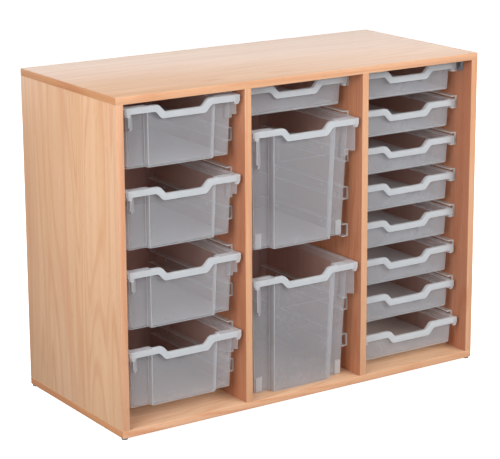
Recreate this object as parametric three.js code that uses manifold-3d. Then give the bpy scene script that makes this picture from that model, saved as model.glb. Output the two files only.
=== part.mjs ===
// Classroom tray storage unit: a three-column board carcass on glides, with fifteen
// translucent pull-out trays of three depths carried by clear runners.
// Millimetres, +Z up, front towards -Y, origin on the floor below the carcass centre.
import * as THREE from 'three';
import { mergeVertices } from 'three/addons/utils/BufferGeometryUtils.js';
import loadManifold from 'manifold-3d';

// Tray rim, seen from above, and the band that hangs from its front edge
const RIM_WIDTH = 311;
const RIM_LENGTH = 405;
const RIM_CORNER = 9;
const FLANGE_T = 2.2;
const BAND_HEIGHT = 15;
const BAND_T = 2.4;

// Handle dip in the middle of the front band
const DIP_DEPTH = 18;
const DIP_FLOOR_WIDTH = 103;
const DIP_SLOPE = 16;
const DIP_BAND_FLARE = 8.5;
const DIP_FILLET = 9;

// Rail under each side flange, and the ear that closes its front end
const RAIL_DEPTH = 22.5;
const RAIL_T = 3;
const RAIL_INSET = 3.5;
const EAR_LENGTH = 8;
const EAR_WIDTH = 12.5;
const EAR_CHAMFER = 5;

// Tray tub below the rim
const WALL_T = 2;
const FLOOR_T = 2.4;
const TUB_EDGE = 3;
const TUB_DRAFT = 0.04;
const FRONT_LEDGE = 11;
const REAR_LEDGE = 12;
const TUB_SIDE_GAP = 3.5;

// Front of each kind of tray: corner radius, and how far its outer parts stand back from the middle panel
const SHALLOW_FRONT = { corner: 10, setback: 0 };
const DEEP_FRONT = { corner: 4, setback: 13 };
const JUMBO_FRONT = { corner: 4, setback: 19 };
const PANEL_WIDTH = 186;
const PANEL_FLANK = 2;

// Slanting gusset at each set-back corner: drop of its inner and outer parts, and length of the outer one
const GUSSET_T = 2;
const GUSSET_FRONT = 5;
const GUSSET_SIDE_GAP = 2;
const DEEP_GUSSET = { inner: 56, outer: 47, step: 11 };
const JUMBO_GUSSET = { inner: 95, outer: 82, step: 18 };

// Bearing pads low on the front corners of the jumbo trays
const PAD_WIDTH = 19;
const PAD_HEIGHT = 38;
const PAD_PROUD = 2.5;
const PAD_CORNER_GAP = 2;
const PAD_FLOOR_GAP = 3;

// Tray heights, tied to the runner levels by the air left below each tray
const SHALLOW_HEIGHT = 71;
const SHALLOW_AIR = 26.2;
const DEEP_AIR = 45.4;
const JUMBO_DROP = 12.4;
const FLOOR_AIR = 20;

// Runners: C-section channels, open towards the tray
const LEVELS = 8;
const RUNNER_LENGTH = 370;
const RUNNER_T = 2;
const RUNNER_REACH = 0.5;
const RAIL_HEADROOM = 6.2;
const SEAT_GAP = 0.3;
const STOP_GAP = 0.3;
const TOP_AIR = 3.5;
const STRIP_WIDTH = 16;
const STRIP_T = 1.2;
const STRIP_INSET = 70;

// Carcass boards
const BOARD_T = 18;
const BACK_T = 6;
const BACK_INSET = 4;
const COLUMNS = 3;
const SIDE_AIR = 10;
const FRONT_SETBACK = 50;
const REAR_AIR = 9;

// How far each tray stands out from its pushed-in place
const DEEP_PULL = 45;
const JUMBO_PULL = 49;
const RIGHT_PULLS = [0, 0, 0, 0, 0, 5, 10, 26];

// Fittings
const FIT_GAP = 0.3;
const DOWEL_D = 8;
const DOWEL_IN_FACE = 12;
const DOWEL_IN_END = 16;
const DOWEL_CHAMFER = 1;
const DOWEL_INSET = 90;
const GLIDE_D = 16;
const GLIDE_HEIGHT = 5;
const GLIDE_EDGE = 1.5;
const GLIDE_PIN_D = 5;
const GLIDE_PIN_LENGTH = 12;
const CORNER_GLIDE_INSET = 10;
const MIDDLE_GLIDE_INSET = 45;
const BRACKET_T = 2;
const BRACKET_WIDTH = 20;
const BRACKET_DROP = 34;
const BRACKET_REACH = 26;
const BRACKET_RUNNER_GAP = 3;
const BRACKET_HOLE_MARGIN = 9;
const SCREW_D = 3.6;
const SCREW_LENGTH = 14;
const SCREW_POINT = 3;
const SCREW_HEAD_D = 8;
const SCREW_HEAD_H = 2.2;
const SCREW_HEAD_EDGE = 0.8;

// Facets of round pieces, and how far joined forms run into each other
const ROUND_SIDES = 8;
const ARC_SEGMENTS = 1;
const FILLET_SEGMENTS = 1;
const OVERLAP = 1;

// Sizes that follow from the values above
const LEVEL_PITCH = SHALLOW_HEIGHT + SHALLOW_AIR;
const DEEP_HEIGHT = 2 * LEVEL_PITCH - DEEP_AIR;
const JUMBO_HEIGHT = 3 * LEVEL_PITCH + JUMBO_DROP;
const RUNNER_HEIGHT = 2 * RUNNER_T + RAIL_DEPTH + SEAT_GAP + RAIL_HEADROOM;
const RUNNER_WIDTH = SIDE_AIR + RAIL_INSET + RAIL_T + RUNNER_REACH;
const FLANGE_WIDTH = RAIL_INSET + RAIL_T + RUNNER_REACH + TUB_SIDE_GAP;
const TUB_WIDTH = RIM_WIDTH - 2 * FLANGE_WIDTH;
const TUB_LENGTH = RIM_LENGTH - FRONT_LEDGE - REAR_LEDGE;
const TUB_MIDDLE = FRONT_LEDGE + TUB_LENGTH / 2;
const COLUMN_WIDTH = RIM_WIDTH + 2 * SIDE_AIR;
const WIDTH = COLUMNS * COLUMN_WIDTH + (COLUMNS + 1) * BOARD_T;
const BAY_DEPTH = FRONT_SETBACK + RIM_LENGTH + REAR_AIR;
const DEPTH = BAY_DEPTH + BACK_T + BACK_INSET;
const LOWEST_RUNNER = FLOOR_AIR + SHALLOW_HEIGHT - RAIL_DEPTH - SEAT_GAP - RUNNER_T;
const BAY_HEIGHT = LOWEST_RUNNER + (LEVELS - 1) * LEVEL_PITCH + RUNNER_HEIGHT + TOP_AIR;
const FRONT_Y = -DEPTH / 2;
const FLOOR_Z = GLIDE_HEIGHT + BOARD_T;
const CEILING_Z = FLOOR_Z + BAY_HEIGHT;
const RUNNER_FRONT_Y = FRONT_Y + FRONT_SETBACK + EAR_LENGTH + STOP_GAP;
const BACK_FACE_Y = FRONT_Y + BAY_DEPTH;

const FINISHES = {
  beech: { color: 0xdcb48e, roughness: 0.5, metalness: 0 },
  backing: { color: 0xb98a66, roughness: 0.6, metalness: 0 },
  frosted: { color: 0xd5d9dc, roughness: 0.4, metalness: 0 },
  clear: { color: 0xe6eaec, roughness: 0.25, metalness: 0 },
  zinc: { color: 0x9aa6b2, roughness: 0.35, metalness: 0.9 },
  glide: { color: 0x77767a, roughness: 0.6, metalness: 0 },
  dowel: { color: 0xd9b78c, roughness: 0.8, metalness: 0 },
};

const wasm = await loadManifold();
wasm.setup();

const unit = new THREE.Group();

// Solids for joining and cutting

function solidOf(geometry) {
  const bare = geometry.clone();
  bare.deleteAttribute('normal');
  bare.deleteAttribute('uv');
  const welded = mergeVertices(bare);
  const vertProperties = new Float32Array(welded.attributes.position.array);
  const triVerts = new Uint32Array(welded.index.array);
  return new wasm.Manifold(new wasm.Mesh({ numProp: 3, vertProperties, triVerts }));
}

function geometryOf(solid) {
  const mesh = solid.getMesh();
  const geometry = new THREE.BufferGeometry();
  geometry.setAttribute('position', new THREE.BufferAttribute(mesh.vertProperties, 3));
  geometry.setIndex(new THREE.BufferAttribute(mesh.triVerts, 1));
  geometry.computeVertexNormals();
  return geometry;
}

function joined(solids) {
  return solids.reduce((whole, solid) => whole.add(solid));
}

function cutBy(solid, tools) {
  return tools.reduce((rest, tool) => rest.subtract(tool), solid);
}

function addPiece(name, solid, finish, position = [0, 0, 0]) {
  const mesh = new THREE.Mesh(geometryOf(solid), new THREE.MeshStandardMaterial(FINISHES[finish]));
  mesh.name = name;
  mesh.position.set(...position);
  unit.add(mesh);
}

// A box from its lowest to its highest corner
function block(low, high) {
  const size = high.map((value, axis) => value - low[axis]);
  const geometry = new THREE.BoxGeometry(...size);
  geometry.translate(...low.map((value, axis) => value + size[axis] / 2));
  return solidOf(geometry);
}

// An outline drawn in X and Z, run along +Y from startY
function runAlongY(outline, startY, length) {
  const options = { depth: length, bevelEnabled: false, curveSegments: FILLET_SEGMENTS };
  const geometry = new THREE.ExtrudeGeometry(outline, options);
  geometry.rotateX(Math.PI / 2);
  geometry.translate(0, startY + length, 0);
  return solidOf(geometry);
}

function polygon(points) {
  return new THREE.Shape(points.map(([u, v]) => new THREE.Vector2(u, v)));
}

// A round piece from its half profile of [radius, height] points, turned about +Z
function turned(profile) {
  const points = profile.map(([radius, height]) => new THREE.Vector2(radius, height));
  const geometry = new THREE.LatheGeometry(points, ROUND_SIDES);
  geometry.rotateX(Math.PI / 2);
  return geometry;
}

function roundBore(diameter, length) {
  const radius = diameter / 2 + FIT_GAP;
  const geometry = new THREE.CylinderGeometry(radius, radius, length, ROUND_SIDES);
  return geometry.rotateX(Math.PI / 2);
}

// Tray tub

// The tub seen from above, set in by a wall where it bounds the inside
function tubOutline(inset, { corner, setback }) {
  const side = TUB_WIDTH / 2 - inset;
  const middle = FRONT_LEDGE + inset;
  const front = middle + setback;
  const rear = RIM_LENGTH - REAR_LEDGE - inset;
  const radius = corner - inset;
  const outline = new THREE.Shape();
  outline.moveTo(radius - side, front);
  if (setback > 0) {
    const panel = PANEL_WIDTH / 2 - inset;
    outline.lineTo(-panel - PANEL_FLANK, front);
    outline.lineTo(-panel, middle);
    outline.lineTo(panel, middle);
    outline.lineTo(panel + PANEL_FLANK, front);
  }
  outline.lineTo(side - radius, front);
  outline.absarc(side - radius, front + radius, radius, -Math.PI / 2, 0);
  outline.lineTo(side, rear - radius);
  outline.absarc(side - radius, rear - radius, radius, 0, Math.PI / 2);
  outline.lineTo(radius - side, rear);
  outline.absarc(radius - side, rear - radius, radius, Math.PI / 2, Math.PI);
  outline.lineTo(-side, front + radius);
  outline.absarc(radius - side, front + radius, radius, Math.PI, 1.5 * Math.PI);
  return outline;
}

// The outline run up through levels of [height, shrink], so that the walls lean and the foot is eased
function leaning(outline, levels) {
  const steps = levels.length - 1;
  const options = { depth: steps, steps, bevelEnabled: false, curveSegments: ARC_SEGMENTS };
  const geometry = new THREE.ExtrudeGeometry(outline, options);
  const position = geometry.attributes.position;
  for (let i = 0; i < position.count; i += 1) {
    const [height, shrink] = levels[Math.round(position.getZ(i))];
    const x = position.getX(i) * (1 - (2 * shrink) / TUB_WIDTH);
    const y = TUB_MIDDLE + (position.getY(i) - TUB_MIDDLE) * (1 - (2 * shrink) / TUB_LENGTH);
    position.setXYZ(i, x, y, height);
  }
  return solidOf(geometry);
}

function tubLevels(floorZ, edge, topZ) {
  return [
    [floorZ, -floorZ * TUB_DRAFT + edge],
    [floorZ + edge, -(floorZ + edge) * TUB_DRAFT],
    [topZ, -topZ * TUB_DRAFT],
  ];
}

// Tray rim

// The line of the handle dip from left to right, lowered by drop and widened by flare
function dipPoints(drop, flare) {
  const floor = DIP_FLOOR_WIDTH / 2 + flare;
  const shoulder = floor + DIP_SLOPE;
  return [[-shoulder, -drop], [-floor, -drop - DIP_DEPTH], [floor, -drop - DIP_DEPTH], [shoulder, -drop]];
}

// Adds straight runs to an outline, with each of the given corners rounded
function addFilleted(outline, corners, end) {
  const route = [[outline.currentPoint.x, outline.currentPoint.y], ...corners, end];
  for (let i = 1; i < route.length - 1; i += 1) {
    const here = new THREE.Vector2(...route[i]);
    const before = new THREE.Vector2(...route[i - 1]).sub(here).setLength(DIP_FILLET).add(here);
    const after = new THREE.Vector2(...route[i + 1]).sub(here).setLength(DIP_FILLET).add(here);
    outline.lineTo(before.x, before.y);
    outline.quadraticCurveTo(here.x, here.y, after.x, after.y);
  }
  outline.lineTo(...end);
}

// A strip that follows the dip across the front of the rim
function dipStrip(height, flare) {
  const side = RIM_WIDTH / 2;
  const outline = new THREE.Shape();
  outline.moveTo(-side, -height);
  addFilleted(outline, dipPoints(height, flare), [side, -height]);
  outline.lineTo(side, 0);
  addFilleted(outline, dipPoints(0, 0).reverse(), [-side, 0]);
  return outline;
}

// What the dip takes out of the rim plate and the front wall
function dipNotch() {
  const outline = new THREE.Shape();
  const side = RIM_WIDTH / 2;
  outline.moveTo(-side, 0);
  addFilleted(outline, dipPoints(0, 0), [side, 0]);
  outline.lineTo(side, OVERLAP);
  outline.lineTo(-side, OVERLAP);
  return runAlongY(outline, -OVERLAP, FRONT_LEDGE + 2 * WALL_T + OVERLAP);
}

function rimPlate() {
  const side = RIM_WIDTH / 2;
  const far = RIM_LENGTH - RIM_CORNER;
  const outline = new THREE.Shape();
  outline.moveTo(-side, 0);
  outline.lineTo(side, 0);
  outline.lineTo(side, far);
  outline.absarc(side - RIM_CORNER, far, RIM_CORNER, 0, Math.PI / 2);
  outline.lineTo(RIM_CORNER - side, RIM_LENGTH);
  outline.absarc(RIM_CORNER - side, far, RIM_CORNER, Math.PI / 2, Math.PI);
  const options = { depth: FLANGE_T, bevelEnabled: false, curveSegments: ARC_SEGMENTS };
  const geometry = new THREE.ExtrudeGeometry(outline, options);
  geometry.translate(0, 0, -FLANGE_T);
  return solidOf(geometry);
}

// Sliding rail and front ear on one side, where hand is -1 for left and 1 for right
function sideRail(hand) {
  const edge = RIM_WIDTH / 2;
  const inFlange = -FLANGE_T / 2;
  const outer = edge - RAIL_INSET;
  const inner = outer - RAIL_T;
  const rail = [[outer, inFlange], [outer, -RAIL_DEPTH], [inner, -RAIL_DEPTH], [inner, inFlange]];
  const ear = [
    [edge, inFlange],
    [edge, -BAND_HEIGHT],
    [edge - EAR_CHAMFER, -RAIL_DEPTH],
    [edge - EAR_WIDTH, -RAIL_DEPTH],
    [edge - EAR_WIDTH, inFlange],
  ];
  const onHand = (points) => polygon(points.map(([x, z]) => [hand * x, z]));
  return [
    runAlongY(onHand(rail), BAND_T / 2, RIM_LENGTH - RIM_CORNER),
    runAlongY(onHand(ear), 0, EAR_LENGTH),
  ];
}

// Plate at 45 degrees that ties the ear to the set-back wall, longer at its wall end
function cornerGusset(hand, setback, drop) {
  const earX = RIM_WIDTH / 2 + SIDE_AIR - RUNNER_WIDTH - GUSSET_SIDE_GAP;
  const wallY = FRONT_LEDGE + setback + WALL_T + drop.inner * TUB_DRAFT;
  const wallX = earX - (wallY - GUSSET_FRONT);
  const root = new THREE.Vector3(hand * wallX, wallY, 0);
  const along = new THREE.Vector3(hand * earX, GUSSET_FRONT, 0).sub(root);
  const length = along.length();
  const top = -FLANGE_T / 2;
  const outline = polygon([
    [0, top],
    [0, -drop.inner],
    [length - drop.step, -drop.inner],
    [length - drop.step, -drop.outer],
    [length, -drop.outer],
    [length, top],
  ]);
  const geometry = new THREE.ExtrudeGeometry(outline, { depth: GUSSET_T, bevelEnabled: false });
  geometry.translate(0, 0, -GUSSET_T / 2);
  along.normalize();
  const up = new THREE.Vector3(0, 0, 1);
  const frame = new THREE.Matrix4().makeBasis(along, up, along.clone().cross(up));
  geometry.applyMatrix4(frame.setPosition(root));
  return solidOf(geometry);
}

function bearingPad(hand, setback, height) {
  const lean = height * TUB_DRAFT;
  const wallY = FRONT_LEDGE + setback + lean;
  const outer = TUB_WIDTH / 2 - lean - PAD_CORNER_GAP;
  const sides = [hand * outer, hand * (outer - PAD_WIDTH)];
  const low = [Math.min(...sides), wallY - PAD_PROUD, PAD_FLOOR_GAP - height];
  const high = [Math.max(...sides), wallY + WALL_T, PAD_FLOOR_GAP + PAD_HEIGHT - height];
  return block(low, high);
}

// A tray with its rim's front edge at Y 0 and its rim top at Z 0
function traySolid({ height, front, drop, padded }) {
  const hands = [-1, 1];
  const tub = leaning(tubOutline(0, front), tubLevels(-height, TUB_EDGE, 0));
  const inside = leaning(tubOutline(WALL_T, front), tubLevels(FLOOR_T - height, TUB_EDGE, OVERLAP));
  const shell = cutBy(tub.add(rimPlate()), [dipNotch()]);
  const band = runAlongY(dipStrip(BAND_HEIGHT, DIP_BAND_FLARE), 0, BAND_T);
  const ledge = runAlongY(dipStrip(FLANGE_T, 0), 0, FRONT_LEDGE + WALL_T);
  const rails = hands.flatMap(sideRail);
  const gussets = drop ? hands.map((hand) => cornerGusset(hand, front.setback, drop)) : [];
  const pads = padded ? hands.map((hand) => bearingPad(hand, front.setback, height)) : [];
  return cutBy(joined([shell, band, ledge, ...rails, ...gussets, ...pads]), [inside]);
}

const SHALLOW_TRAY = traySolid({ height: SHALLOW_HEIGHT, front: SHALLOW_FRONT });
const DEEP_TRAY = traySolid({ height: DEEP_HEIGHT, front: DEEP_FRONT, drop: DEEP_GUSSET });
const JUMBO_TRAY = traySolid({ height: JUMBO_HEIGHT, front: JUMBO_FRONT, drop: JUMBO_GUSSET, padded: true });

// Places in the carcass

function boardX(index) {
  return -WIDTH / 2 + index * (COLUMN_WIDTH + BOARD_T);
}

function columnCentre(column) {
  return boardX(column) + BOARD_T + COLUMN_WIDTH / 2;
}

// Underside of the runner at a level, counted from 1 at the top
function runnerZ(level) {
  return FLOOR_Z + LOWEST_RUNNER + (LEVELS - level) * LEVEL_PITCH;
}

function hungRimZ(level) {
  return runnerZ(level) + RUNNER_T + SEAT_GAP + RAIL_DEPTH;
}

function addTray(name, solid, column, rimZ, pull) {
  addPiece(name, solid, 'frosted', [columnCentre(column), FRONT_Y + FRONT_SETBACK - pull, rimZ]);
}

// Fittings

function dowelSolid() {
  const radius = DOWEL_D / 2;
  const tip = radius - DOWEL_CHAMFER;
  return solidOf(turned([
    [0, -DOWEL_IN_FACE],
    [tip, -DOWEL_IN_FACE],
    [radius, DOWEL_CHAMFER - DOWEL_IN_FACE],
    [radius, DOWEL_IN_END - DOWEL_CHAMFER],
    [tip, DOWEL_IN_END],
    [0, DOWEL_IN_END],
  ]));
}

function dowelBore() {
  const length = DOWEL_IN_FACE + DOWEL_IN_END + 2 * FIT_GAP;
  return solidOf(roundBore(DOWEL_D, length).translate(0, 0, (DOWEL_IN_END - DOWEL_IN_FACE) / 2));
}

function glideSolid() {
  const radius = GLIDE_D / 2;
  return solidOf(turned([
    [0, 0],
    [radius - GLIDE_EDGE, 0],
    [radius, GLIDE_EDGE],
    [radius, GLIDE_HEIGHT],
    [GLIDE_PIN_D / 2, GLIDE_HEIGHT],
    [GLIDE_PIN_D / 2, GLIDE_HEIGHT + GLIDE_PIN_LENGTH],
    [0, GLIDE_HEIGHT + GLIDE_PIN_LENGTH],
  ]));
}

function glideBore() {
  const length = GLIDE_PIN_LENGTH + FIT_GAP + OVERLAP;
  return solidOf(roundBore(GLIDE_PIN_D, length).translate(0, 0, GLIDE_HEIGHT - OVERLAP + length / 2));
}

// A pan-head screw whose head rests on Z 0 and whose point looks towards +Z
function screwGeometry() {
  const shank = SCREW_D / 2;
  const head = SCREW_HEAD_D / 2;
  return turned([
    [0, -SCREW_HEAD_H],
    [head - SCREW_HEAD_EDGE, -SCREW_HEAD_H],
    [head, SCREW_HEAD_EDGE - SCREW_HEAD_H],
    [head, 0],
    [shank, 0],
    [shank, SCREW_LENGTH - SCREW_POINT],
    [0, SCREW_LENGTH],
  ]);
}

function screwBoreGeometry() {
  const length = SCREW_LENGTH + 2 * FIT_GAP;
  return roundBore(SCREW_D, length).translate(0, 0, length / 2 - FIT_GAP);
}

// Carries geometry from +Z to the bracket's two screw places: into the side board and up into the top
function screwPlaces(corner) {
  const face = corner.hand * (WIDTH / 2 - BOARD_T - BRACKET_T - FIT_GAP);
  const legZ = CEILING_Z - BRACKET_DROP + BRACKET_HOLE_MARGIN;
  const reachX = corner.hand * (WIDTH / 2 - BOARD_T - BRACKET_REACH + BRACKET_HOLE_MARGIN);
  const sideways = (geometry) => geometry.rotateY((corner.hand * Math.PI) / 2).translate(face, corner.y, legZ);
  const upright = (geometry) => geometry.translate(reachX, corner.y, CEILING_Z - BRACKET_T - FIT_GAP);
  return { sideways, upright };
}

function bracketSolid(corner, bores) {
  const face = WIDTH / 2 - BOARD_T;
  const profile = [
    [face, CEILING_Z],
    [face, CEILING_Z - BRACKET_DROP],
    [face - BRACKET_T, CEILING_Z - BRACKET_DROP],
    [face - BRACKET_T, CEILING_Z - BRACKET_T],
    [face - BRACKET_REACH, CEILING_Z - BRACKET_T],
    [face - BRACKET_REACH, CEILING_Z],
  ];
  const outline = polygon(profile.map(([x, z]) => [corner.hand * x, z]));
  return cutBy(runAlongY(outline, corner.y - BRACKET_WIDTH / 2, BRACKET_WIDTH), bores);
}

// Where fittings sit

const FRONT_BRACKET_Y = RUNNER_FRONT_Y - BRACKET_RUNNER_GAP - BRACKET_WIDTH / 2;
const REAR_BRACKET_Y = RUNNER_FRONT_Y + RUNNER_LENGTH + BRACKET_RUNNER_GAP + BRACKET_WIDTH / 2;
const corners = [
  { name: 'front_left', hand: -1, y: FRONT_BRACKET_Y },
  { name: 'rear_left', hand: -1, y: REAR_BRACKET_Y },
  { name: 'front_right', hand: 1, y: FRONT_BRACKET_Y },
  { name: 'rear_right', hand: 1, y: REAR_BRACKET_Y },
];
for (const corner of corners) {
  const { sideways, upright } = screwPlaces(corner);
  corner.sideBore = solidOf(sideways(screwBoreGeometry()));
  corner.topBore = solidOf(upright(screwBoreGeometry()));
  corner.bracket = bracketSolid(corner, [corner.sideBore, corner.topBore]);
  corner.sideScrew = solidOf(sideways(screwGeometry()));
  corner.topScrew = solidOf(upright(screwGeometry()));
}

const boards = ['left_side', 'left_divider', 'right_divider', 'right_side'];
const dowelRows = [
  { name: 'front', y: FRONT_Y + DOWEL_INSET },
  { name: 'rear', y: BACK_FACE_Y - DOWEL_INSET },
];
const dowels = [];
boards.forEach((board, index) => {
  const x = boardX(index) + BOARD_T / 2;
  for (const row of dowelRows) {
    const lower = { name: `${board}_lower_${row.name}_dowel`, turn: 0, place: [x, row.y, FLOOR_Z] };
    dowels.push({ ...lower, index });
    if (board.endsWith('divider')) {
      const upper = { name: `${board}_upper_${row.name}_dowel`, turn: Math.PI, place: [x, row.y, CEILING_Z] };
      dowels.push({ ...upper, index });
    }
  }
});
for (const dowel of dowels) {
  dowel.solid = dowelSolid().rotate([THREE.MathUtils.radToDeg(dowel.turn), 0, 0]).translate(dowel.place);
  dowel.bore = dowelBore().rotate([THREE.MathUtils.radToDeg(dowel.turn), 0, 0]).translate(dowel.place);
}

const glides = [];
const glideColumns = [
  { name: 'left', x: -WIDTH / 2 + BOARD_T / 2, inset: CORNER_GLIDE_INSET },
  { name: 'middle', x: 0, inset: MIDDLE_GLIDE_INSET },
  { name: 'right', x: WIDTH / 2 - BOARD_T / 2, inset: CORNER_GLIDE_INSET },
];
for (const column of glideColumns) {
  glides.push({ name: `front_${column.name}_glide`, place: [column.x, FRONT_Y + column.inset, 0] });
  glides.push({ name: `rear_${column.name}_glide`, place: [column.x, -FRONT_Y - column.inset, 0] });
}

// Carcass boards with the bores for their fittings

const halfWidth = WIDTH / 2;
const basePanel = block([-halfWidth, FRONT_Y, GLIDE_HEIGHT], [halfWidth, -FRONT_Y, FLOOR_Z]);
const topPanel = block([-halfWidth, FRONT_Y, CEILING_Z], [halfWidth, -FRONT_Y, CEILING_Z + BOARD_T]);
const backPanel = block(
  [BOARD_T - halfWidth, BACK_FACE_Y, FLOOR_Z],
  [halfWidth - BOARD_T, BACK_FACE_Y + BACK_T, CEILING_Z],
);
const dowelBores = dowels.map((dowel) => dowel.bore);
const glideBores = glides.map((glide) => glideBore().translate(glide.place));
addPiece('base_panel', cutBy(basePanel, [...dowelBores, ...glideBores]), 'beech');
addPiece('top_panel', cutBy(topPanel, [...dowelBores, ...corners.map((corner) => corner.topBore)]), 'beech');
addPiece('back_panel', backPanel, 'backing');
boards.forEach((board, index) => {
  const isDivider = board.endsWith('divider');
  const rearY = isDivider ? BACK_FACE_Y : -FRONT_Y;
  const upright = block([boardX(index), FRONT_Y, FLOOR_Z], [boardX(index) + BOARD_T, rearY, CEILING_Z]);
  const name = isDivider ? board : `${board}_panel`;
  addPiece(name, cutBy(upright, [...dowelBores, ...corners.map((corner) => corner.sideBore)]), 'beech');
});

for (const dowel of dowels) {
  addPiece(dowel.name, dowel.solid, 'dowel');
}
for (const glide of glides) {
  addPiece(glide.name, glideSolid(), 'glide', glide.place);
}
for (const corner of corners) {
  addPiece(`${corner.name}_bracket`, corner.bracket, 'zinc');
  addPiece(`${corner.name}_bracket_side_screw`, corner.sideScrew, 'zinc');
  addPiece(`${corner.name}_bracket_top_screw`, corner.topScrew, 'zinc');
}

// Runner racks: the runners on one face of a column, tied by two flat strips

function runnerSolid(hand, level) {
  const profile = [
    [0, 0],
    [RUNNER_WIDTH, 0],
    [RUNNER_WIDTH, RUNNER_T],
    [RUNNER_T, RUNNER_T],
    [RUNNER_T, RUNNER_HEIGHT - RUNNER_T],
    [RUNNER_WIDTH, RUNNER_HEIGHT - RUNNER_T],
    [RUNNER_WIDTH, RUNNER_HEIGHT],
    [0, RUNNER_HEIGHT],
  ];
  const outline = polygon(profile.map(([x, z]) => [-hand * x, z + runnerZ(level)]));
  return runAlongY(outline, RUNNER_FRONT_Y, RUNNER_LENGTH);
}

function addRack(name, column, hand, levels) {
  const faceX = columnCentre(column) + (hand * COLUMN_WIDTH) / 2;
  const lowZ = runnerZ(Math.max(...levels)) + RUNNER_T;
  const highZ = runnerZ(Math.min(...levels)) + RUNNER_HEIGHT - RUNNER_T;
  const thickness = [0, -hand * STRIP_T];
  const strips = [STRIP_INSET, RUNNER_LENGTH - STRIP_INSET - STRIP_WIDTH].map((inset) => block(
    [Math.min(...thickness), RUNNER_FRONT_Y + inset, lowZ],
    [Math.max(...thickness), RUNNER_FRONT_Y + inset + STRIP_WIDTH, highZ],
  ));
  const runners = levels.map((level) => runnerSolid(hand, level));
  addPiece(name, joined([...runners, ...strips]), 'clear', [faceX, 0, 0]);
}

const ALL_LEVELS = Array.from({ length: LEVELS }, (_, index) => index + 1);
const LOWER_JUMBO_LEVEL = 6;
const UPPER_LEVELS = ALL_LEVELS.filter((level) => level < LOWER_JUMBO_LEVEL);
const LOWER_LEVELS = ALL_LEVELS.filter((level) => level > LOWER_JUMBO_LEVEL);
const sides = [{ name: 'left', hand: -1 }, { name: 'right', hand: 1 }];
for (const side of sides) {
  addRack(`left_column_${side.name}_runners`, 0, side.hand, ALL_LEVELS);
  addRack(`middle_column_${side.name}_upper_runners`, 1, side.hand, UPPER_LEVELS);
  addRack(`middle_column_${side.name}_lower_runners`, 1, side.hand, LOWER_LEVELS);
  addRack(`right_column_${side.name}_runners`, 2, side.hand, ALL_LEVELS);
}

// Trays: the lower jumbo tray stands on the base panel, all others hang in their runners

const DEEP_LEVELS = ALL_LEVELS.filter((level) => level % 2 === 1);
DEEP_LEVELS.forEach((level, index) => {
  addTray(`deep_tray_${index + 1}`, DEEP_TRAY, 0, hungRimZ(level), DEEP_PULL);
});
addTray('middle_shallow_tray', SHALLOW_TRAY, 1, hungRimZ(1), 0);
addTray('upper_jumbo_tray', JUMBO_TRAY, 1, hungRimZ(2), JUMBO_PULL);
addTray('lower_jumbo_tray', JUMBO_TRAY, 1, FLOOR_Z + SEAT_GAP + JUMBO_HEIGHT, JUMBO_PULL);
RIGHT_PULLS.forEach((pull, index) => {
  addTray(`shallow_tray_${index + 1}`, SHALLOW_TRAY, 2, hungRimZ(index + 1), pull);
});

export default unit;
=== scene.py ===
"""Looks of a classroom tray storage unit: beech-faced boards, frosted trays and clear runners.

Shapes are written in millimetres and scaled to metres when they become meshes. Every piece takes its
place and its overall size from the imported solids, with the front towards -Y and +Z up.
"""
import math

import bmesh
import bpy
from mathutils import Matrix, Vector


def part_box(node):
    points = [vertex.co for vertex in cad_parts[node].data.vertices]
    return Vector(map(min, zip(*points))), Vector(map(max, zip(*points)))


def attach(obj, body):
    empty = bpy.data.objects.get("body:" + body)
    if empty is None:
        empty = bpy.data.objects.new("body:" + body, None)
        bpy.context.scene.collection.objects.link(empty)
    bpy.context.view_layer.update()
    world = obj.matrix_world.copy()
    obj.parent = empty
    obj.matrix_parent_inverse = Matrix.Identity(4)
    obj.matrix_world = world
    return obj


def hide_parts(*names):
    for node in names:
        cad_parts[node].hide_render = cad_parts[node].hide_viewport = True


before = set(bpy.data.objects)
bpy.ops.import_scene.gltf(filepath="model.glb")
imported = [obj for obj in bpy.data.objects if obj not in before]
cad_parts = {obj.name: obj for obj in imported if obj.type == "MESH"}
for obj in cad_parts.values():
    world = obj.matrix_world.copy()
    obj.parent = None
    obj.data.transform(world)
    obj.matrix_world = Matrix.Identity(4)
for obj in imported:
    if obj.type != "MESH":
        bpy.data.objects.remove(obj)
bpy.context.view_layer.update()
MM = 0.001

# Degrees from which an edge is rounded, and from which it is shaded as a crease
BEVEL_ANGLE = 30
CREASE_ANGLE = 32

# Millimetres within which two places are the same, and within which points are welded
SAME_PLACE = 0.01
WELD = 0.001

# Boards: a laminated core with a band on each open edge
BAND_T = 2
BAND_SEAM = 0.08
BAND_ROUND = 0.8
CORE_ROUND = 0.3

# Tray rim, with the handle dip in its front band
FLANGE_T = 2.2
BAND_HEIGHT = 15
BAND_WALL = 2.4
SIDE_LIP = 4.5
RIM_ROUND = 1.1
LIP_ROUND = 0.8
LIP_EASE = 0.4
UNDER_FILLET = 1
RIM_FRONT_CORNER = 3
RIM_REAR_CORNER = 9
DIP_DEPTH = 18
DIP_FLOOR = 103
DIP_SLOPE = 16
DIP_FLARE = 8.5
DIP_ROUND = 5
DIP_FADE_START = 4
DIP_FADE = 55

# Tray tub
WALL_T = 2
FLOOR_T = 2.2
DRAFT = 0.04
MOUTH_ROUND = 2.5
FLANGE_WIDTH = 10.5
FRONT_LEDGE = 11
REAR_LEDGE = 12
LEDGE_FILLET = 1.6
PANEL_WIDTH = 186
PANEL_FLANK = 2
PANEL_ROUND = 1.8
FOOT_WIDTH = 5
FOOT_SLOPE = 1
FOOT_LIFT = 1.4
RIB_WIDTH = 3
RIB_ROUND = 0.3
RIB_CORNER_GAP = 16
WALL_DEPTHS = (8, 14, 22, 30, 38, 48, 60)
CORNER_STEPS = 8
SIDE_STEPS = 5

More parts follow.
